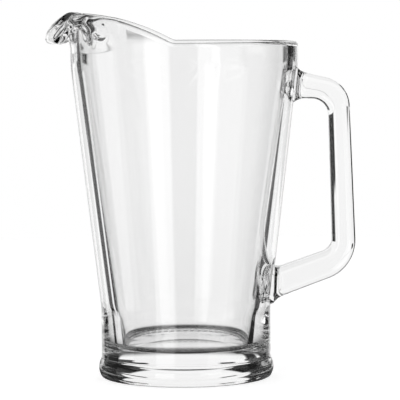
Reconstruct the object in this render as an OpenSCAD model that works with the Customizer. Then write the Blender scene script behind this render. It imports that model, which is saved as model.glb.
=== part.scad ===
// Glass beer pitcher: a heavy pressed-glass jug with a thick flared foot, a tapered
// wall, a raised pouring lip that rolls over at the front and a solid D-shaped handle.
// The jug stands on Z = 0 with its bore on the Z axis. The lip points to -X, the
// handle to +X. Every piece is clear glass, and neighbouring pieces meet face to face.

/* [Foot and base] */
// Radius of the straight band above the foot
waist_r = 54.2; // [48:0.1:60]
// How far the rounded foot stands out past the band
foot_bulge = 1.8; // [0.8:0.1:3]
// Height of the widest line of the foot
foot_z = 6.5; // [5.5:0.1:8]
// Thickness of the solid glass bottom, up to the drinking floor
floor_z = 19.5; // [16:0.5:28]
// Depth of the hollow under the bottom
punt_depth = 3; // [1.5:0.1:5]
// Height of the joint between the base and the tapered wall
base_top = 40; // [34:0.5:43]

/* [Wall] */
// Height where the straight band turns into the taper
taper_z = 44.4; // [44:0.1:60]
// Height where the taper ends in the upright rim band
band_z = 200; // [180:0.5:202]
// Outer radius of the rim band
rim_r = 72.5; // [66:0.1:80]
// Thickness of the glass in the rim band
rim_wall = 6.2; // [4.5:0.1:7.5]
// How far the bore narrows for each millimetre down the wall
bore_slope = 0.14; // [0.1:0.005:0.15]
// Radius of the soft bends where the taper starts and ends
bend_r = 50; // [10:1:60]

/* [Pouring lip] */
// Height of the level part of the rim
rim_z = 214; // [208:0.1:220]
// Height that the lip climbs above the level rim
lip_rise = 19; // [8:0.1:22]
// Angle from the nose at which the rim starts to climb
lip_start = 84; // [70:1:95]
// How far the nose reaches out past the rim band
lip_reach = 15.3; // [6:0.1:18]
// How far the nose comes down from the height of the two ears beside it
lip_drop = 13.6; // [6:0.1:16]
// How far the glass rolls over at the nose, in degrees from upright
lip_roll = 172; // [60:1:175]
// How much thicker the glass is in the shoulders on both sides of the nose
shoulder = 2.4; // [0.5:0.1:4]

/* [Handle] */
// Width of the grip, from side to side
grip_w = 22; // [16:0.5:28]
// Outer corner of the handle at the top, before rounding
handle_top_x = 104.4; // [98:0.1:112]
// Height of that corner
handle_top_z = 187.4; // [182:0.1:192]
// Outer corner of the handle at the bottom, before rounding
handle_low_x = 109.2; // [102:0.1:116]
// Height of that corner
handle_low_z = 69.3; // [64:0.1:76]
// Thickness of the grip, from the palm side to the finger side
grip_t = 13.8; // [11:0.1:17]
// How far the handle flares where it is fused to the wall
root_flare = 2.2; // [1:0.1:4]

/* [Hidden] */
$fn = 96;
arc_steps = 10;

glass = [0.9, 0.91, 0.91, 0.45];

// Outside of the base
heel_r = 2;
foot_r = waist_r + foot_bulge;
foot_arc_r = 11;
foot_arc_x = foot_r - foot_arc_r;
foot_fillet_r = 5;
foot_fillet_x = waist_r + foot_fillet_r;
foot_gap = foot_arc_r + foot_fillet_r;
foot_fillet_z = foot_z + sqrt(foot_gap * foot_gap - pow(foot_fillet_x - foot_arc_x, 2));
foot_turn = atan2(foot_fillet_z - foot_z, foot_fillet_x - foot_arc_x);
heel_x = foot_arc_x + sqrt(pow(foot_arc_r - heel_r, 2) - pow(foot_z - heel_r, 2));
heel_turn = atan2(foot_z - heel_r, heel_x - foot_arc_x);
bearing_w = 8;
punt_r = heel_x - bearing_w;
punt_step = 1.2;

// Bend under the rim band
band_bend_r = bend_r / 3;

// Inside of the jug
bore_top_r = rim_r - rim_wall;
band_foot = 3;
seam_z = band_z + band_foot;
bore_turn = atan(bore_slope);
floor_fillet = 5;
floor_fillet_z = floor_z + floor_fillet;
floor_flat_r = bore_r(floor_fillet_z) - floor_fillet / cos(bore_turn);
floor_dish = 0.8;

// Pouring lip
lip_mid_r = rim_r - rim_wall / 2;
lip_straight = 4;
lip_foot_z = seam_z + lip_straight;
flare_end = 54;
flare_share = 0.5;
shoulder_start = [20, 34];
shoulder_end = [36, 53];
shoulder_rise = [0.75, 0.35];
shoulder_fall = [0.75, 1];
drop_fade = [18, 32];
hood_fade = [16, 36];
channel_fade = [0, 19];
ear_start = [10, 25];
ear_end = [22, 38];
hood_rise = 27.5;
hood_curl = 18;
channel_dip = 8;
ear_swell = 5;
bend_share = 0.5;
lip_bead = 1.15;
lip_steps = 12;
bead_steps = 5;
front_span = 54;
front_step = 2;
back_step = 6;

// Handle
arm_fall = 0.23;
arm_low_z = 177.3;
low_arm_slope = 0.375;
low_inner_slope = 0.35;
grip_waist = 0.7;
grip_swell = 1.6;
grip_in_top_x = handle_top_x - grip_t + grip_waist;
grip_in_low_x = handle_low_x - grip_t - grip_swell;
low_arm_t = 18;
top_outer_r = 19;
top_inner_r = 11;
low_outer_r = 26;
low_inner_r = 8;
edge_round = 5.4;
corner_steps = 4;
least_flat = 0.2;
handle_top_cut = 82;
handle_top_inner_cut = 80;
handle_low_cut = 68;
handle_low_inner_cut = 63;
root_steps = 8;
root_power = 4;
root_sink = 6;

// Points along an arc, from one angle to another
function arc(x, y, r, from, to, steps) =
    [for (i = [0:steps]) let (a = from + (to - from) * i / steps) [x + r * cos(a), y + r * sin(a)]];

// A value that is 1 up to the first end of a span and fades to 0 at the second
function fade(x, span) = let (u = (x - span[0]) / (span[1] - span[0]), v = min(1, max(0, u)))
    1 - v * v * (3 - 2 * v);

// A path of straight runs through corners that are rounded with the given radii
function unit(v) = v / norm(v);
function corner(before, at, after, r) = let (
    into = unit(at - before),
    out = unit(after - at),
    half = acos(into * out) / 2,
    hand = cross(into, out) < 0 ? 1 : -1,
    start = at - into * r * tan(half),
    middle = start + hand * r * [into[1], -into[0]],
    from = atan2(start[1] - middle[1], start[0] - middle[0]))
    arc(middle[0], middle[1], r, from, from - 2 * hand * half, arc_steps);
function rounded_path(p, r_first, r_second) =
    concat([p[0]], corner(p[0], p[1], p[2], r_first), corner(p[1], p[2], p[3], r_second), [p[3]]);

// Outer radius of the tapered wall at one height
function wall_r(z) = waist_r + (rim_r - waist_r) * (z - taper_z) / (band_z - taper_z);

// Radius of the bore at one height
function bore_r(z) = bore_top_r - bore_slope * (seam_z - z);

// Outline of the drinking floor, from the corner with the bore to the middle
function floor_line() = concat(
    arc(floor_flat_r, floor_fillet_z, floor_fillet, -bore_turn, -90, arc_steps),
    [[0, floor_z - floor_dish]]);

// Outline of the foot, from the bearing ring up to the straight band
function foot_line() = concat(
    arc(heel_x, heel_r, heel_r, -90, -heel_turn, arc_steps),
    arc(foot_arc_x, foot_z, foot_arc_r, -heel_turn, foot_turn, arc_steps),
    arc(foot_fillet_x, foot_fillet_z, foot_fillet_r, 180 + foot_turn, 180, arc_steps));

module base() color(glass) rotate_extrude() polygon(concat(
    [[0, punt_depth], [punt_r - punt_step, punt_step], [punt_r, 0]],
    foot_line(),
    [[waist_r, base_top], [bore_r(base_top), base_top]],
    floor_line()));

// Outline of the outside of the wall, from the base up to the rim band
function wall_line() = rounded_path(
    [[waist_r, base_top], [waist_r, taper_z], [rim_r, band_z], [rim_r, seam_z]], bend_r, band_bend_r);

module side_wall() color(glass) rotate_extrude() polygon(concat(
    wall_line(),
    [[bore_top_r, seam_z], [bore_r(base_top), base_top]]));

// The middle line of the glass in the rim band at one angle from the nose:
// it starts upright on the wall and, near the nose, rolls outwards and down.
function climb(angle) = angle >= lip_start ? 0 : lip_rise * (1 - pow(angle / lip_start, 3));
function flare(angle) = angle >= flare_end ? 0 : pow(1 - pow(angle / flare_end, 2), 1.5);
function lip_end(angle) = [
    lip_mid_r + lip_reach * flare(angle),
    rim_z - rim_wall / 2 + climb(angle) - lip_drop * fade(angle, drop_fade)];
function bezier(p, u) =
    pow(1 - u, 3) * p[0] + 3 * u * pow(1 - u, 2) * p[1] + 3 * u * u * (1 - u) * p[2] + pow(u, 3) * p[3];
function bezier_way(p, u) =
    pow(1 - u, 2) * (p[1] - p[0]) + 2 * u * (1 - u) * (p[2] - p[1]) + u * u * (p[3] - p[2]);
function lip_frame(angle) = let (
    tip = lip_end(angle),
    hood = fade(angle, hood_fade),
    ear = ear_swell * (1 - fade(angle, ear_start)) * fade(angle, ear_end),
    dip = channel_dip * fade(angle, channel_fade) - ear,
    bend = bend_share * (tip[1] - lip_foot_z),
    rise = bend + (hood_rise - bend) * hood - dip,
    curl = bend + (hood_curl - bend) * hood - dip,
    turn = lip_roll * (flare_share * flare(angle) + (1 - flare_share) * hood))
    [[lip_mid_r, lip_foot_z], [lip_mid_r, lip_foot_z + rise],
     tip - curl * [sin(turn), cos(turn)], tip];

// Thickness that the shoulder adds to the outside, part of the way up the lip
function swell(angle, u) =
    shoulder * (1 - fade(angle, shoulder_start)) * fade(angle, shoulder_end)
    * fade(u, shoulder_rise) * fade(u, shoulder_fall);

// One cut through the rim band: up the outside, round the bead and down the inside
function lip_cut(angle) = let (
    frame = lip_frame(angle),
    stations = [for (i = [0:lip_steps]) let (
        u = i / lip_steps,
        way = bezier_way(frame, u),
        half = rim_wall / 2 * (1 + (lip_bead - 1) * flare(angle) * u))
        [bezier(frame, u), [way[1], -way[0]] / norm(way), half, swell(angle, u)]],
    tip = stations[lip_steps],
    end_a = atan2(tip[1][1], tip[1][0]))
    concat(
        [[rim_r, seam_z]],
        [for (s = stations) s[0] + s[1] * (s[2] + s[3])],
        [for (i = [1:bead_steps - 1]) let (a = end_a + 180 * i / bead_steps)
            tip[0] + tip[2] * [cos(a), sin(a)]],
        [for (i = [lip_steps:-1:0]) stations[i][0] - stations[i][1] * stations[i][2]],
        [[bore_top_r, seam_z]]);

// Angles of the cuts, measured from the nose, closer together along the lip
lip_angles = concat(
    [for (a = [-front_span:front_step:front_span - front_step]) a],
    [for (a = [front_span:back_step:360 - front_span - back_step]) a]);
function off_nose(a) = a > 180 ? 360 - a : abs(a);

// Closed skin over a row of like rings, whose ends are joined or capped. Each patch
// between two rings is two triangles, and before ring `turn` they lean the other way.
function patch(a, b, c, d, lean) = lean ? [[a, b, c], [a, c, d]] : [[a, b, d], [b, c, d]];
function skin(count, size, closed, turn = 0) = concat(
    [for (i = [0:count - (closed ? 1 : 2)], j = [0:size - 1])
        let (next = ((i + 1) % count) * size, k = (j + 1) % size)
        each patch(i * size + j, i * size + k, next + k, next + j, i >= turn)],
    closed ? [] : [[for (j = [size - 1:-1:0]) j], [for (j = [0:size - 1]) (count - 1) * size + j]]);

module rim_spout() {
    cuts = [for (a = lip_angles) lip_cut(off_nose(a))];
    points = [for (i = [0:len(cuts) - 1], p = cuts[i])
        [-p[0] * cos(lip_angles[i]), -p[0] * sin(lip_angles[i]), p[1]]];
    color(glass) polyhedron(points, skin(len(cuts), len(cuts[0]), true, front_span / front_step));
}

// Outer and inner edges of the handle in its own plane, each as [X, Z] points
function top_line(x) = handle_top_z - arm_fall * (x - handle_top_x);
function low_line(x) = handle_low_z + low_arm_slope * (x - handle_low_x);
low_inner_z = low_line(grip_in_low_x) + low_arm_t;
function low_inner_line(x) = low_inner_z + low_inner_slope * (x - grip_in_low_x);
outer_edge = rounded_path([
    [handle_top_cut, top_line(handle_top_cut)], [handle_top_x, handle_top_z],
    [handle_low_x, handle_low_z], [handle_low_cut, low_line(handle_low_cut)]],
    top_outer_r, low_outer_r);
inner_edge = rounded_path([
    [handle_top_inner_cut, arm_low_z], [grip_in_top_x, arm_low_z],
    [grip_in_low_x, low_inner_z], [handle_low_inner_cut, low_inner_line(handle_low_inner_cut)]],
    top_inner_r, low_inner_r);

// A rounded rectangle across the glass between an outer and an inner edge point
function section(out, in, w, r) = let (
    mid = (out + in) / 2,
    across = unit(out - in),
    t = norm(out - in) / 2,
    round = min(r, t - least_flat),
    outline = [for (q = [0:3], i = [0:corner_steps])
        let (a = 90 * q + 90 * i / corner_steps,
             cx = (q == 0 || q == 3 ? 1 : -1) * (t - round),
             cy = (q < 2 ? 1 : -1) * (w / 2 - round))
        [cx + round * cos(a), cy + round * sin(a)]])
    [for (p = outline) let (flat = mid + across * p[0]) [flat[0], p[1], flat[1]]];

ring_size = 4 * (corner_steps + 1);

module handle() {
    rings = [for (i = [0:len(outer_edge) - 1]) section(outer_edge[i], inner_edge[i], grip_w, edge_round)];
    color(glass) polyhedron([for (r = rings, p = r) p], skin(len(rings), ring_size, false));
}

// A root runs on from the end of the handle into the wall and flares as it gets there
module root(out, in, out_slope, in_slope) {
    out_gap = out[0] - wall_r(out[1]);
    in_gap = in[0] - wall_r(in[1]);
    stations = concat([for (i = [0:root_steps]) [i / root_steps, 0]], [[1, root_sink]]);
    rings = [for (s = stations)
        let (flare = root_flare * pow(s[0], root_power),
             grow = unit(out - in) * flare,
             out_run = out_gap * s[0] + s[1],
             in_run = in_gap * s[0] + s[1])
        section(out - [1, out_slope] * out_run + grow, in - [1, in_slope] * in_run - grow,
                grip_w + 2 * flare, edge_round)];
    color(glass) difference() {
        polyhedron([for (r = rings, p = r) p], skin(len(rings), ring_size, false));
        rotate_extrude() polygon(concat([[0, base_top]], wall_line(), [[0, seam_z]]));
    }
}

module upper_handle_root() root(outer_edge[0], inner_edge[0], -arm_fall, 0);

last = len(outer_edge) - 1;
module lower_handle_root() root(outer_edge[last], inner_edge[last], low_arm_slope, low_inner_slope);

base();
side_wall();
rim_spout();
handle();
upper_handle_root();
lower_handle_root();
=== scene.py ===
"""Clear glass beer pitcher, seen in a bright studio against white.

Outlines are worked out in millimetres and laid in the frame in metres. The pitcher stands on
Z = 0 with its bore on the Z axis, its pouring lip to -X and its handle to +X. Six pieces of
clear glass meet at fused joints, whose faces let light pass unbent.
"""
import math

import bpy
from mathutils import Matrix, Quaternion, Vector


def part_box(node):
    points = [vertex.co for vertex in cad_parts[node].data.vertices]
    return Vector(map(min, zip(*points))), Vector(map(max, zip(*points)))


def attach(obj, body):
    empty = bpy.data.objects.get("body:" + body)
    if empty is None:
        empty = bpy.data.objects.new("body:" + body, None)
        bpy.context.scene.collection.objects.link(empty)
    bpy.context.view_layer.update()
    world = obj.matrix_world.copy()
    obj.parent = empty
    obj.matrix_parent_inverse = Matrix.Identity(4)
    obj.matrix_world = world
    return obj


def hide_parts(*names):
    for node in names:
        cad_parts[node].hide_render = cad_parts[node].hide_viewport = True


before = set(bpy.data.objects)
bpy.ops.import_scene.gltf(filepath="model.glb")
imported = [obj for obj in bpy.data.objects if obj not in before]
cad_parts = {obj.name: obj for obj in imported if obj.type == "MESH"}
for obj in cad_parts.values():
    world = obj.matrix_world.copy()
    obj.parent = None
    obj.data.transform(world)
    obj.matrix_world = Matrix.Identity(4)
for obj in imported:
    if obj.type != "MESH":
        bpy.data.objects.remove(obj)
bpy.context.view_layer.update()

MM = 0.001
TINY = 0.002 * MM

# Steps of the turned and swept shapes
turn_steps = 480
arc_steps = 24
wall_steps = 16
band_steps = 8
lip_steps = 44
bead_steps = 20
corner_steps = 12
root_steps = 24

# Sizes that the frame gives
base_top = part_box("base")[1].z / MM
foot_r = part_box("base")[1].x / MM
seam_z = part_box("side_wall")[1].z / MM
rim_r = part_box("side_wall")[1].y / MM
grip_w = 2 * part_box("handle")[1].y / MM

# Foot and base
waist_r = 54.2
foot_z = 6.5
foot_arc_r = 11
foot_fillet_r = 5
heel_r = 2
bearing_w = 8
punt_depth = 3
punt_step = 1.2
knurl_edge = 1.6
knurl_slope = 0.5
knurl_depth = 0.4
knurl_pitch = 8
foot_arc_x = foot_r - foot_arc_r
heel_x = foot_arc_x + math.sqrt((foot_arc_r - heel_r) ** 2 - (foot_z - heel_r) ** 2)
punt_r = heel_x - bearing_w
floor_z = 19.5
floor_fillet = 5
floor_dish = 0.8

# Wall
taper_z = 44.4
taper_bend = 3
band_z = 200
band_bend = 6
rim_wall = 6.2
bore_slope = 0.14
bore_knee_z = 200.5
bore_bend = 6
bore_top_r = rim_r - rim_wall

# Pouring lip
rim_z = 214
lip_rise = 19
lip_start = 84
lip_soften = 1
lip_reach = 15.3
lip_drop = 13.6
lip_roll = 172
lip_mid_r = rim_r - rim_wall / 2
rim_band = 4
lip_foot_z = seam_z + rim_band
lip_bead = 1.15
flare_end = 54
flare_share = 0.5
shoulder = 1.2
shoulder_start = (20, 34)
shoulder_end = (36, 53)
shoulder_rise = (0.75, 0.35)
shoulder_fall = (0.75, 1)
hood_rise = 27.5
hood_curl = 18
channel_dip = 8
ear_swell = 5
bend_share = 0.5
drop_fade = (18, 32)
hood_fade = (16, 36)
channel_fade = (0, 19)
ear_start = (10, 25)
ear_end = (22, 38)

# Handle
handle_top = Vector((104.4, 187.4))
handle_low = Vector((109.2, 69.3))
grip_t = 13.8
grip_waist = 0.7
grip_swell = 1.6
arm_fall = 0.23
arm_low_z = 177.3
low_arm_slope = 0.375
low_inner_slope = 0.35
low_arm_t = 18
top_outer_r = 19
top_inner_r = 11
low_outer_r = 26
low_inner_r = 8
edge_round = 5.4
handle_top_cut = 82
handle_top_inner_cut = 80
handle_low_cut = 68
handle_low_inner_cut = 63
root_flare = 2.2
root_power = 4
root_sink = 4


def arc(x, z, r, start, end, steps):
    """Points along an arc, from one angle to another in degrees."""
    turns = [math.radians(start + (end - start) * i / steps) for i in range(steps + 1)]
    return [Vector((x + r * math.cos(a), z + r * math.sin(a))) for a in turns]


def ramp(d, half):
    """0 before a bend and d after it, with a soft bend of the given half length between."""
    if abs(d) >= half:
        return max(d, 0)
    return (d + half) ** 2 / (4 * half)


def spread(start, end, steps):
    """Evenly spaced values from start to end, with both ends."""
    return [start + (end - start) * i / steps for i in range(steps + 1)]


def outer_r(z):
    """Outer radius of the wall at one height."""
    slope = (rim_r - waist_r) / (band_z - taper_z)
    return waist_r + slope * (ramp(z - taper_z, taper_bend) - ramp(z - band_z, band_bend))


def bore_r(z):
    """Radius of the bore at one height."""
    return bore_top_r - bore_slope * ramp(bore_knee_z - z, bore_bend)


def base_outline():
    """Half the base in its own plane, from the axis under it round the foot to the axis inside."""
    foot_fillet_x = waist_r + foot_fillet_r
    reach = foot_arc_r + foot_fillet_r
    foot_fillet_z = foot_z + math.sqrt(reach ** 2 - (foot_fillet_x - foot_arc_x) ** 2)
    foot_turn = math.degrees(math.atan2(foot_fillet_z - foot_z, foot_fillet_x - foot_arc_x))
    heel_turn = math.degrees(math.atan2(foot_z - heel_r, heel_x - foot_arc_x))
    dome_r = punt_r - punt_step
    floor_turn = math.degrees(math.atan(bore_slope))
    fillet_z = floor_z + floor_fillet
    fillet_top = fillet_z - floor_fillet * math.sin(math.radians(floor_turn))
    floor_r = bore_r(fillet_top) - floor_fillet * math.cos(math.radians(floor_turn))
    dome = [Vector((r, punt_step + (punt_depth - punt_step) * (1 - (r / dome_r) ** 2)))
            for r in spread(0, dome_r, arc_steps)]
    dish = [Vector((r, floor_z - floor_dish * (1 - (r / floor_r) ** 2)))
            for r in spread(floor_r, 0, arc_steps)]
    return (
        dome
        + [Vector((punt_r, 0))]
        + [Vector((punt_r + d, 0)) for d in (knurl_edge, knurl_edge + knurl_slope)]
        + [Vector((heel_x - d, 0)) for d in (knurl_edge + knurl_slope, knurl_edge)]
        + arc(heel_x, heel_r, heel_r, -90, -heel_turn, arc_steps)
        + arc(foot_arc_x, foot_z, foot_arc_r, -heel_turn, foot_turn, arc_steps)[1:]
        + arc(foot_fillet_x, foot_fillet_z, foot_fillet_r, 180 + foot_turn, 180, arc_steps)[1:]
        + [Vector((waist_r, base_top))]
        + [Vector((bore_r(base_top), base_top))]
        + arc(floor_r, fillet_z, floor_fillet, -floor_turn, -90, arc_steps)
        + dish[1:])


def wall_outline():
    """Closed outline of the wall in its own plane, up the outside and down the bore."""
    outside = (
        [base_top]
        + spread(taper_z - taper_bend, taper_z + taper_bend, arc_steps)
        + spread(taper_z + taper_bend, band_z - band_bend, wall_steps)[1:]
        + spread(band_z - band_bend, seam_z, arc_steps)[1:])
    inside = (
        spread(seam_z, bore_knee_z - bore_bend, arc_steps)
        + spread(bore_knee_z - bore_bend, base_top, wall_steps)[1:])
    around = [Vector((outer_r(z), z)) for z in outside] + [Vector((bore_r(z), z)) for z in inside]
    return around + around[:1]


def fade(x, span):
    """1 up to the first end of a span, fading to 0 at the second."""
    u = min(1, max(0, (x - span[0]) / (span[1] - span[0])))
    return 1 - u * u * (3 - 2 * u)


def flare(angle):
    """How far the rim leans out at one angle from the nose, from 1 at the nose to 0."""
    return max(0, 1 - (angle / flare_end) ** 2) ** 1.5


def swell(angle, u):
    """Thickness that a shoulder beside the nose adds to the outside, part of the way up."""
    around = (1 - fade(angle, shoulder_start)) * fade(angle, shoulder_end)
    return shoulder * around * fade(u, shoulder_rise) * fade(u, shoulder_fall)


def lip_frame(angle):
    """Control points of the middle line of the rim's glass at one angle from the nose."""
    climb = ramp(lip_rise * (1 - (angle / lip_start) ** 3), lip_soften)
    tip = Vector((
        lip_mid_r + lip_reach * flare(angle),
        rim_z - rim_wall / 2 + climb - lip_drop * fade(angle, drop_fade)))
    hood = fade(angle, hood_fade)
    ear = ear_swell * (1 - fade(angle, ear_start)) * fade(angle, ear_end)
    dip = channel_dip * fade(angle, channel_fade) - ear
    bend = bend_share * (tip.y - lip_foot_z)
    rise = bend + (hood_rise - bend) * hood - dip
    curl = bend + (hood_curl - bend) * hood - dip
    turn = math.radians(lip_roll * (flare_share * flare(angle) + (1 - flare_share) * hood))
    foot = Vector((lip_mid_r, lip_foot_z))
    way = Vector((math.sin(turn), math.cos(turn)))
    return foot, foot + Vector((0, rise)), tip - curl * way, tip


def lip_cut(angle):
    """One cut through the rim: up the outside, round the bead and down the inside."""
    a, b, c, d = lip_frame(angle)
    outside, inside = [], []
    for u in spread(0, 1, lip_steps):
        v = 1 - u
        at = v ** 3 * a + 3 * u * v * v * b + 3 * u * u * v * c + u ** 3 * d
        way = (v * v * (b - a) + 2 * u * v * (c - b) + u * u * (d - c)).normalized()
        side = Vector((way.y, -way.x))
        half = rim_wall / 2 * (1 + (lip_bead - 1) * flare(angle) * u)
        outside.append(at + side * (half + swell(angle, u)))
        inside.append(at - side * half)
    turn = math.degrees(math.atan2(side.y, side.x))
    bead = arc(d.x, d.y, half, turn, turn + 180, bead_steps)[1:-1]
    straight = spread(seam_z, lip_foot_z, band_steps)[:-1]
    return (
        [Vector((outer_r(z), z)) for z in straight]
        + outside + bead + inside[::-1]
        + [Vector((bore_r(z), z)) for z in straight[::-1]])


def rim_rings():
    """Cuts all round the rim, each laid in space, starting at the handle's side."""
    rings = []
    for i in range(turn_steps):
        way = math.tau * i / turn_steps
        cut = lip_cut(abs(180 - math.degrees(way)))
        rings.append([Vector((p.x * math.cos(way), p.x * math.sin(way), p.y)) for p in cut])
    return rings


def corner(before, at, after, r):
    """Rounded corner of a path, as points along its arc."""
    into = (at - before).normalized()
    out = (after - at).normalized()
    half = math.acos(into.dot(out)) / 2
    hand = 1 if into.cross(out) < 0 else -1
    start = at - into * r * math.tan(half)
    middle = start + hand * r * Vector((into.y, -into.x))
    angle = math.degrees(math.atan2(start.y - middle.y, start.x - middle.x))
    return arc(middle.x, middle.y, r, angle, angle - 2 * hand * math.degrees(half), arc_steps)


def rounded_path(points, first_r, second_r):
    """Path of three straight runs with two rounded corners."""
    first = corner(*points[:3], first_r)
    second = corner(*points[1:], second_r)
    return [points[0]] + first + second + [points[3]]


def handle_edges():
    """Outer and inner edge of the handle in its own plane, point by point from the top arm."""
    def top_line(x):
        return Vector((x, handle_top.y - arm_fall * (x - handle_top.x)))

    def low_line(x):
        return Vector((x, handle_low.y + low_arm_slope * (x - handle_low.x)))

    grip_top_x = handle_top.x - grip_t + grip_waist
    grip_low_x = handle_low.x - grip_t - grip_swell
    low_inner_z = low_line(grip_low_x).y + low_arm_t

    def low_inner_line(x):
        return Vector((x, low_inner_z + low_inner_slope * (x - grip_low_x)))

    outer = rounded_path(
        [top_line(handle_top_cut), handle_top, handle_low, low_line(handle_low_cut)],
        top_outer_r, low_outer_r)
    inner = rounded_path(
        [Vector((handle_top_inner_cut, arm_low_z)), Vector((grip_top_x, arm_low_z)),
         low_inner_line(grip_low_x), low_inner_line(handle_low_inner_cut)],
        top_inner_r, low_inner_r)
    return outer, inner


def section(out, inn, width):
    """Rounded rectangle across the glass between an outer and an inner edge point."""
    middle = (out + inn) / 2
    across = (out - inn).normalized()
    t = (out - inn).length / 2
    r = edge_round
    ring = []
    for quarter in range(4):
        cx = (t - r) * (1 if quarter in (0, 3) else -1)
        cy = (width / 2 - r) * (1 if quarter < 2 else -1)
        for p in arc(cx, cy, r, 90 * quarter, 90 * quarter + 90, corner_steps):
            flat = middle + across * p.x
            ring.append(Vector((flat.x, p.y, flat.y)))
    return ring


def root_rings(out, inn, out_slope, in_slope):
    """Rings of a root, which flares from the end of the handle into the wall."""
    rings = []
    for s in spread(0, 1, root_steps) + [None]:
        sink = root_sink if s is None else 0
        share = 1 if s is None else s
        widen = root_flare * share ** root_power
        grow = (out - inn).normalized() * widen
        out_run = (out.x - outer_r(out.y)) * share + sink
        in_run = (inn.x - outer_r(inn.y)) * share + sink
        rings.append(section(
            out - Vector((1, out_slope)) * out_run + grow,
            inn - Vector((1, in_slope)) * in_run - grow,
            grip_w + 2 * widen))
    return rings


def deselect():
    """Leaves nothing selected, in object mode."""
    bpy.ops.object.select_all(action="DESELECT")


def in_space(point):
    """A point of an upright outline, laid in the XZ plane in metres."""
    return Vector((point.x, 0, point.y)) * MM


def turn_outline(name, outline):
    """Extrudes one vertex along an outline, then spins the wire round the axis."""
    deselect()
    points = [in_space(p) for p in outline]
    bpy.ops.mesh.primitive_plane_add(size=MM, location=points[0])
    piece = bpy.context.object
    piece.name = name
    bpy.ops.object.transform_apply(location=True)
    bpy.ops.object.mode_set(mode="EDIT")
    bpy.ops.mesh.select_all(action="SELECT")
    bpy.ops.mesh.merge(type="CENTER")
    for here, there in zip(points, points[1:]):
        bpy.ops.mesh.extrude_vertices_move(TRANSFORM_OT_translate={"value": there - here})
    bpy.ops.mesh.select_all(action="SELECT")
    bpy.ops.mesh.spin(steps=turn_steps, angle=math.tau, center=(0, 0, 0), axis=(0, 0, 1))
    bpy.ops.mesh.select_all(action="SELECT")
    bpy.ops.mesh.remove_doubles(threshold=TINY)
    bpy.ops.mesh.normals_make_consistent(inside=False)
    bpy.ops.object.mode_set(mode="OBJECT")
    return piece


def loft(name, rings, closed):
    """Lays the rows of a grid on rings of points and closes it round, and at its ends if open."""
    deselect()
    across = len(rings[0])
    rows = len(rings) + (1 if closed else 0)
    bpy.ops.mesh.primitive_grid_add(x_subdivisions=across, y_subdivisions=rows - 1, size=MM)
    piece = bpy.context.object
    piece.name = name
    for vertex in piece.data.vertices:
        row, column = divmod(vertex.index, across + 1)
        vertex.co = rings[row % len(rings)][column % across] * MM
    bpy.ops.object.mode_set(mode="EDIT")
    bpy.ops.mesh.select_all(action="SELECT")
    bpy.ops.mesh.remove_doubles(threshold=TINY)
    bpy.ops.mesh.fill_holes(sides=0)
    bpy.ops.mesh.select_all(action="SELECT")
    bpy.ops.mesh.normals_make_consistent(inside=False)
    bpy.ops.object.mode_set(mode="OBJECT")
    return piece


# Finish of the glass
glass_ior = 1.52
smooth_angle = math.radians(35)
noise_detail = 3
# Colour of the glass, darker towards the bottom
darkening_span = (0.02, 0.15)
darkening_levels = (0.965, 1)
haze_scale = 60
clear_haze = 0.004
ground_haze = 0.5
wave_scale = (45, 45, 9)
wave_strength = 0.15
wave_height = 0.02 * MM


def math_node(tree, kind, a, b=None, c=None):
    """A math node on values or sockets, and its output."""
    node = tree.nodes.new("ShaderNodeMath")
    node.operation = kind
    for socket, value in zip(node.inputs, (a, b, c)):
        if value is None:
            continue
        if isinstance(value, (int, float)):
            socket.default_value = value
        else:
            tree.links.new(value, socket)
    return node.outputs[0]


def step_node(tree, value, start, end, low, high):
    """A smooth step from low to high as the value goes from start to end."""
    node = tree.nodes.new("ShaderNodeMapRange")
    node.interpolation_type = "SMOOTHSTEP"
    for name, number in (("From Min", start), ("From Max", end), ("To Min", low), ("To Max", high)):
        node.inputs[name].default_value = number
    tree.links.new(value, node.inputs["Value"])
    return node.outputs["Result"]


def noise_node(tree, coords, scale):
    """A fine noise over the given coordinates, from 0 to 1."""
    node = tree.nodes.new("ShaderNodeTexNoise")
    node.inputs["Scale"].default_value = scale
    node.inputs["Detail"].default_value = noise_detail
    tree.links.new(coords, node.inputs["Vector"])
    return node.outputs[0]


def ramp_node(tree, share, stops, span):
    """Brightness by the stops of a list, whose places are counted over the given span."""
    node = tree.nodes.new("ShaderNodeValToRGB")
    elements = node.color_ramp.elements
    for _ in stops[2:]:
        elements.new(1)
    for element, (place, level) in zip(elements, stops):
        element.position = place / span
        element.color = (level, level, level, 1)
    tree.links.new(share, node.inputs["Fac"])
    return node.outputs["Color"]


def glass_effects():
    """Group of what all glass here has: a colour that grows darker towards the bottom, faint waves
    and haze.
    """
    group = bpy.data.node_groups.new("pressed_glass", "ShaderNodeTree")
    group.interface.new_socket("Haze", in_out="INPUT", socket_type="NodeSocketFloat")
    for name, kind in (("Color", "Color"), ("Roughness", "Float"), ("Normal", "Vector")):
        group.interface.new_socket(name, in_out="OUTPUT", socket_type="NodeSocket" + kind)
    into = group.nodes.new("NodeGroupInput")
    out = group.nodes.new("NodeGroupOutput")
    coords = group.nodes.new("ShaderNodeTexCoord").outputs["Object"]
    parts = group.nodes.new("ShaderNodeSeparateXYZ")
    group.links.new(coords, parts.inputs[0])
    # Glass colour darker towards the bottom
    darkening = step_node(group, parts.outputs["Z"], *darkening_span, *darkening_levels)
    group.links.new(darkening, out.inputs["Color"])
    cloud = noise_node(group, coords, haze_scale)
    roughness = math_node(group, "MULTIPLY", cloud, into.outputs["Haze"])
    group.links.new(roughness, out.inputs["Roughness"])
    stretch = group.nodes.new("ShaderNodeMapping")
    stretch.inputs["Scale"].default_value = wave_scale
    group.links.new(coords, stretch.inputs["Vector"])
    bump = group.nodes.new("ShaderNodeBump")
    bump.inputs["Strength"].default_value = wave_strength
    bump.inputs["Distance"].default_value = wave_height
    group.links.new(noise_node(group, stretch.outputs["Vector"], 1), bump.inputs["Height"])
    group.links.new(bump.outputs["Normal"], out.inputs["Normal"])
    return group


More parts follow.
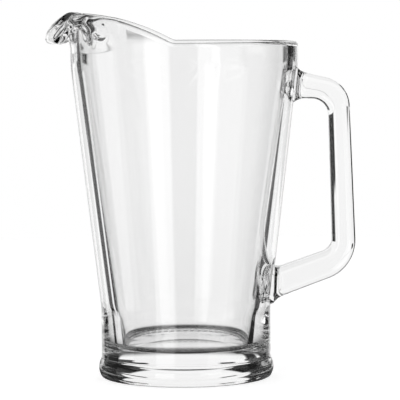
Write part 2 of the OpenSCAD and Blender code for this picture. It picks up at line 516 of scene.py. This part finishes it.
def glass_material(name, effects, haze):
    """Glass whose surface is polished or ground, by its haze."""
    material = bpy.data.materials.new(name)
    material.use_nodes = True
    tree = material.node_tree
    shader = tree.nodes["Principled BSDF"]
    shader.inputs["IOR"].default_value = glass_ior
    shader.inputs["Transmission Weight"].default_value = 1
    group = tree.nodes.new("ShaderNodeGroup")
    group.node_tree = effects
    group.inputs["Haze"].default_value = haze
    tree.links.new(group.outputs["Color"], shader.inputs["Base Color"])
    tree.links.new(group.outputs["Roughness"], shader.inputs["Roughness"])
    tree.links.new(group.outputs["Normal"], shader.inputs["Normal"])
    return material


def fused_joint():
    """The inside of a joint, where glass meets glass and light passes unbent."""
    material = bpy.data.materials.new("fused_joint")
    material.use_nodes = True
    shader = material.node_tree.nodes["Principled BSDF"]
    shader.inputs["Alpha"].default_value = 0
    return material


def knurl_ring(base, ground):
    """Presses radial notches into the bearing ring and grinds it."""
    inner = (punt_r + knurl_edge + knurl_slope) * MM - TINY
    outer = (heel_x - knurl_edge - knurl_slope) * MM + TINY
    for vertex in base.data.vertices:
        x, y, z = vertex.co
        step = round(math.atan2(y, x) / math.tau * turn_steps)
        on_ring = abs(z) < TINY and inner < math.hypot(x, y) < outer
        if on_ring and step % knurl_pitch < knurl_pitch / 2:
            vertex.co.z = knurl_depth * MM
    base.data.materials.append(ground)
    for face in base.data.polygons:
        r = math.hypot(face.center.x, face.center.y) / MM
        if face.center.z < knurl_depth * MM and punt_r < r < heel_x:
            face.material_index = len(base.data.materials) - 1


def marker(name):
    """A plain material that only marks which piece a face belongs to."""
    return bpy.data.materials.new(name)


def fuse_handle(wall):
    """Joins the swept handle to the wall and parts them again along the line where they meet."""
    outer, inner = handle_edges()
    upper = root_rings(outer[0], inner[0], -arm_fall, 0)
    grip = [section(o, i, grip_w) for o, i in zip(outer, inner)]
    lower = root_rings(outer[-1], inner[-1], low_arm_slope, low_inner_slope)
    rings = upper[::-1] + grip[1:-1] + lower
    sweep = loft("sweep", rings, closed=False)
    names = ["side_wall", "upper_handle_root", "handle", "lower_handle_root"]
    marks = [marker("mark_" + n) for n in names]
    wall.data.materials.append(marks[0])
    for mark in marks[1:]:
        sweep.data.materials.append(mark)
    top_cut = len(upper) - 1
    low_cut = top_cut + len(grip) - 1
    around = len(rings[0])
    for face in sweep.data.polygons:
        row = face.index // around
        face.material_index = 0 if row < top_cut else 1 if row < low_cut else 2
    deselect()
    wall.select_set(True)
    bpy.context.view_layer.objects.active = wall
    bpy.ops.object.modifier_add(type="BOOLEAN")
    union = wall.modifiers[0]
    union.operation = "UNION"
    union.solver = "EXACT"
    union.material_mode = "TRANSFER"
    union.object = sweep
    bpy.ops.object.modifier_apply(modifier=union.name)
    bpy.data.objects.remove(sweep)
    bpy.ops.object.mode_set(mode="EDIT")
    bpy.ops.mesh.separate(type="MATERIAL")
    bpy.ops.object.mode_set(mode="OBJECT")
    found = {}
    for piece in bpy.context.selected_objects:
        mark = piece.data.materials[piece.data.polygons[0].material_index]
        found[mark.name.removeprefix("mark_")] = piece
    for mark in marks:
        bpy.data.materials.remove(mark)
    return found


def finish_piece(piece, node, glass, joint):
    """Closes a piece at its joints, smooths it and sets it in place of its node."""
    piece.name = piece.data.name = "glass_" + node
    piece.data.materials.clear()
    piece.data.materials.append(glass)
    piece.data.materials.append(joint)
    deselect()
    piece.select_set(True)
    bpy.context.view_layer.objects.active = piece
    count = len(piece.data.polygons)
    bpy.ops.object.mode_set(mode="EDIT")
    bpy.ops.mesh.select_all(action="SELECT")
    bpy.ops.mesh.fill_holes(sides=0)
    bpy.ops.mesh.select_all(action="SELECT")
    bpy.ops.mesh.normals_make_consistent(inside=False)
    bpy.ops.object.mode_set(mode="OBJECT")
    heights = [base_top * MM, seam_z * MM]
    for face in piece.data.polygons:
        level = [piece.data.vertices[v].co.z for v in face.vertices]
        at_joint = any(max(abs(z - h) for z in level) < TINY for h in heights)
        face.material_index = 1 if at_joint or face.index >= count else 0
    bpy.ops.object.shade_smooth_by_angle(angle=smooth_angle)
    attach(piece, "root")
    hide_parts(node)


def build_pitcher():
    """All six pieces of the pitcher."""
    effects = glass_effects()
    glass = glass_material("clear_glass", effects, clear_haze)
    ground = glass_material("ground_glass", effects, ground_haze)
    joint = fused_joint()
    pieces = fuse_handle(turn_outline("side_wall", wall_outline()))
    pieces["base"] = turn_outline("base", base_outline())
    pieces["rim_spout"] = loft("rim_spout", rim_rings(), closed=True)
    for node, piece in pieces.items():
        finish_piece(piece, node, glass, joint)
    knurl_ring(pieces["base"], ground)


# The camera's place, and the point at the middle of its view
camera_at = Vector((7.7, -1570, 236)) * MM
camera_aim = Vector((9.5, 0, 112.7)) * MM
camera_lens = 221.8
camera_roll = 0.0066


def place_camera():
    """The photograph's view: a long lens, a little above the rim."""
    data = bpy.data.cameras.new("camera")
    data.lens = camera_lens
    camera = bpy.data.objects.new("camera", data)
    bpy.context.scene.collection.objects.link(camera)
    camera.location = camera_at
    camera.rotation_mode = "QUATERNION"
    aim = (camera_aim - camera_at).to_track_quat("-Z", "Y")
    camera.rotation_quaternion = aim @ Quaternion((0, 0, 1), -camera_roll)
    bpy.context.scene.camera = camera


# Studio: bright panels stand in a ring, in five layers. Each panel has its start and end in
# degrees, counted from the handle's side over the back, and its brightness.
under_panels = ((48, 118, 0.9), (127, 143, 0.9), (230, 254, 1.7), (292, 338, 0.9))
low_panels = ((51, 122.5, 1), (135, 138, 1), (166, 194, 1), (230, 254, 1.7), (293, 337, 0.9))
middle_panels = ((64, 121, 1), (166, 194, 1), (230, 254, 1.7), (300, 330, 0.8))
upper_panels = ((73, 105, 1), (115, 124, 1), (166, 194, 1), (230, 254, 1.7), (300, 330, 0.8))
high_panels = ((166, 194, 0.4), (230, 254, 1.7), (300, 330, 0.6))
panel_soft = 1.5
panel_dark = 0.02
under_end = (-25, -20)
low_end = (-8.2, -7.6)
middle_end = (-3.9, -3.3)
upper_end = (-0.9, -0.4)
high_end = (16, 19)
under_start = (-60, -50)
backdrop_way = 90
backdrop_w = 33
backdrop_h = 31
backdrop_soft = 0.2
ceiling_front = (20, 26)
ceiling_back = (40, 46)
ceiling_level = 0.75
ceiling_turn = (-0.2, 0.2)
dark_level = 0.012

# Floor
floor_reach = 0.95
floor_sides = 128
floor_gap = 0.2 * MM
floor_glow = 0.5
floor_colour = (0.95, 0.95, 0.95, 1)
# Painted light and shade on the floor, seen only through the glass: a glowing painted pool of light
# under the back half of the foot, painted shade under its front half and a painted shadow ring
# about the foot
painted_pool_edge = (0.038, 0.043)
painted_front_shade_span = (-0.004, 0.010)
painted_pool_level = 0.9
painted_shadow_ring_end = (0.066, 0.086)


def panel_ring(tree, share, panels):
    """Brightness of a ring of panels with dark gaps between them, by the share of a turn."""
    stops = []
    for start, end, level in panels:
        stops += [(start - panel_soft, panel_dark), (start, level)]
        stops += [(end, level), (end + panel_soft, panel_dark)]
    return ramp_node(tree, share, stops, 360)


def light_studio():
    """World of layered panels under a ceiling, white to the camera itself."""
    world = bpy.data.worlds.new("studio")
    bpy.context.scene.world = world
    world.use_nodes = True
    tree = world.node_tree
    way = tree.nodes.new("ShaderNodeTexCoord").outputs["Generated"]
    parts = tree.nodes.new("ShaderNodeSeparateXYZ")
    tree.links.new(way, parts.inputs[0])
    turn = math_node(tree, "ARCTAN2", parts.outputs["Y"], parts.outputs["X"])
    share = math_node(tree, "FRACT", math_node(tree, "MULTIPLY_ADD", turn, 1 / math.tau, 1))
    height = math_node(tree, "DEGREES", math_node(tree, "ARCSINE", parts.outputs["Z"]))
    level = panel_ring(tree, share, under_panels)
    layers = (
        (low_panels, under_end), (middle_panels, low_end),
        (upper_panels, middle_end), (high_panels, upper_end))
    for panels, edge in layers:
        gap = math_node(tree, "SUBTRACT", panel_ring(tree, share, panels), level)
        level = math_node(tree, "MULTIPLY_ADD", gap, step_node(tree, height, *edge, 0, 1), level)
    level = math_node(tree, "MULTIPLY", level, step_node(tree, height, *high_end, 1, 0))
    level = math_node(tree, "MULTIPLY", level, step_node(tree, height, *under_start, 0, 1))
    wide = math_node(tree, "MULTIPLY_ADD", share, 360 / backdrop_w, -backdrop_way / backdrop_w)
    tall = math_node(tree, "DIVIDE", height, backdrop_h)
    off = math_node(tree, "MULTIPLY_ADD", tall, tall, math_node(tree, "MULTIPLY", wide, wide))
    backdrop = math_node(
        tree, "MULTIPLY",
        step_node(tree, off, 1, 1 + backdrop_soft, 1, 0),
        step_node(tree, height, *upper_end, 0, 1))
    front = math_node(
        tree, "MULTIPLY",
        step_node(tree, parts.outputs["Y"], *ceiling_turn, 1, 0),
        step_node(tree, height, *ceiling_front, 0, ceiling_level))
    back = step_node(tree, height, *ceiling_back, 0, ceiling_level)
    seen = tree.nodes.new("ShaderNodeLightPath").outputs["Is Camera Ray"]
    for other in (backdrop, front, back, dark_level, seen):
        level = math_node(tree, "MAXIMUM", level, other)
    tree.links.new(level, tree.nodes["Background"].inputs["Color"])


def mix_node(tree, share, first, second):
    """Two shaders mixed by a share of the second."""
    node = tree.nodes.new("ShaderNodeMixShader")
    for socket, value in zip(node.inputs, (share, first, second)):
        tree.links.new(value, socket)
    return node.outputs[0]


def floor_material():
    """White to the camera with the shadow on it. Through the glass only a painted pool of light
    under the back half of the foot, painted shade under its front half and a painted shadow ring
    about it are seen, and beyond them the studio."""
    material = bpy.data.materials.new("pale_floor_with_painted_pool_and_shade")
    material.use_nodes = True
    tree = material.node_tree
    tree.nodes.remove(tree.nodes["Principled BSDF"])
    path = tree.nodes.new("ShaderNodeLightPath")
    matt = tree.nodes.new("ShaderNodeBsdfDiffuse")
    matt.inputs["Color"].default_value = floor_colour
    glow = tree.nodes.new("ShaderNodeEmission")
    strength = math_node(tree, "MULTIPLY", path.outputs["Is Camera Ray"], floor_glow)
    tree.links.new(strength, glow.inputs["Strength"])
    white = tree.nodes.new("ShaderNodeAddShader")
    tree.links.new(matt.outputs[0], white.inputs[0])
    tree.links.new(glow.outputs[0], white.inputs[1])
    coords = tree.nodes.new("ShaderNodeTexCoord").outputs["Object"]
    parts = tree.nodes.new("ShaderNodeSeparateXYZ")
    tree.links.new(coords, parts.inputs[0])
    length = tree.nodes.new("ShaderNodeVectorMath")
    length.operation = "LENGTH"
    tree.links.new(coords, length.inputs[0])
    off = length.outputs["Value"]
    # Painted pool of light under the foot, falling to a painted shadow ring at the dark level of
    # the panel gaps
    painted_pool_and_ring = step_node(tree, off, *painted_pool_edge, painted_pool_level, panel_dark)
    # Painted shade over the front half of the floor under the foot
    painted_front_shade = step_node(tree, parts.outputs["Y"], *painted_front_shade_span, panel_dark, 1)
    # The painted pool glows, though it is no lamp
    painted_pool_glow = tree.nodes.new("ShaderNodeEmission")
    tree.links.new(math_node(tree, "MULTIPLY", painted_pool_and_ring, painted_front_shade), painted_pool_glow.inputs["Strength"])
    clear = tree.nodes.new("ShaderNodeBsdfTransparent")
    beyond = step_node(tree, off, *painted_shadow_ring_end, 0, 1)
    through = mix_node(tree, beyond, painted_pool_glow.outputs[0], clear.outputs[0])
    glassy = math_node(
        tree, "MAXIMUM", path.outputs["Is Transmission Ray"], path.outputs["Is Glossy Ray"])
    surface = mix_node(tree, glassy, white.outputs[0], through)
    tree.links.new(surface, tree.nodes["Material Output"].inputs["Surface"])
    return material


def lay_floor():
    """Round floor a hair below the foot."""
    deselect()
    bpy.ops.mesh.primitive_circle_add(
        vertices=floor_sides, radius=floor_reach, fill_type="NGON", location=(0, 0, -floor_gap))
    floor = bpy.context.object
    floor.name = "floor"
    floor.data.materials.append(floor_material())


def set_up_render():
    """Colours as they are written, and enough bounces for thick glass."""
    scene = bpy.context.scene
    scene.view_settings.view_transform = "Standard"
    scene.cycles.max_bounces = 32
    scene.cycles.glossy_bounces = 16
    scene.cycles.transmission_bounces = 32
    scene.cycles.transparent_max_bounces = 64
    scene.cycles.blur_glossy = 0


place_camera()
build_pitcher()
light_studio()
lay_floor()
set_up_render()
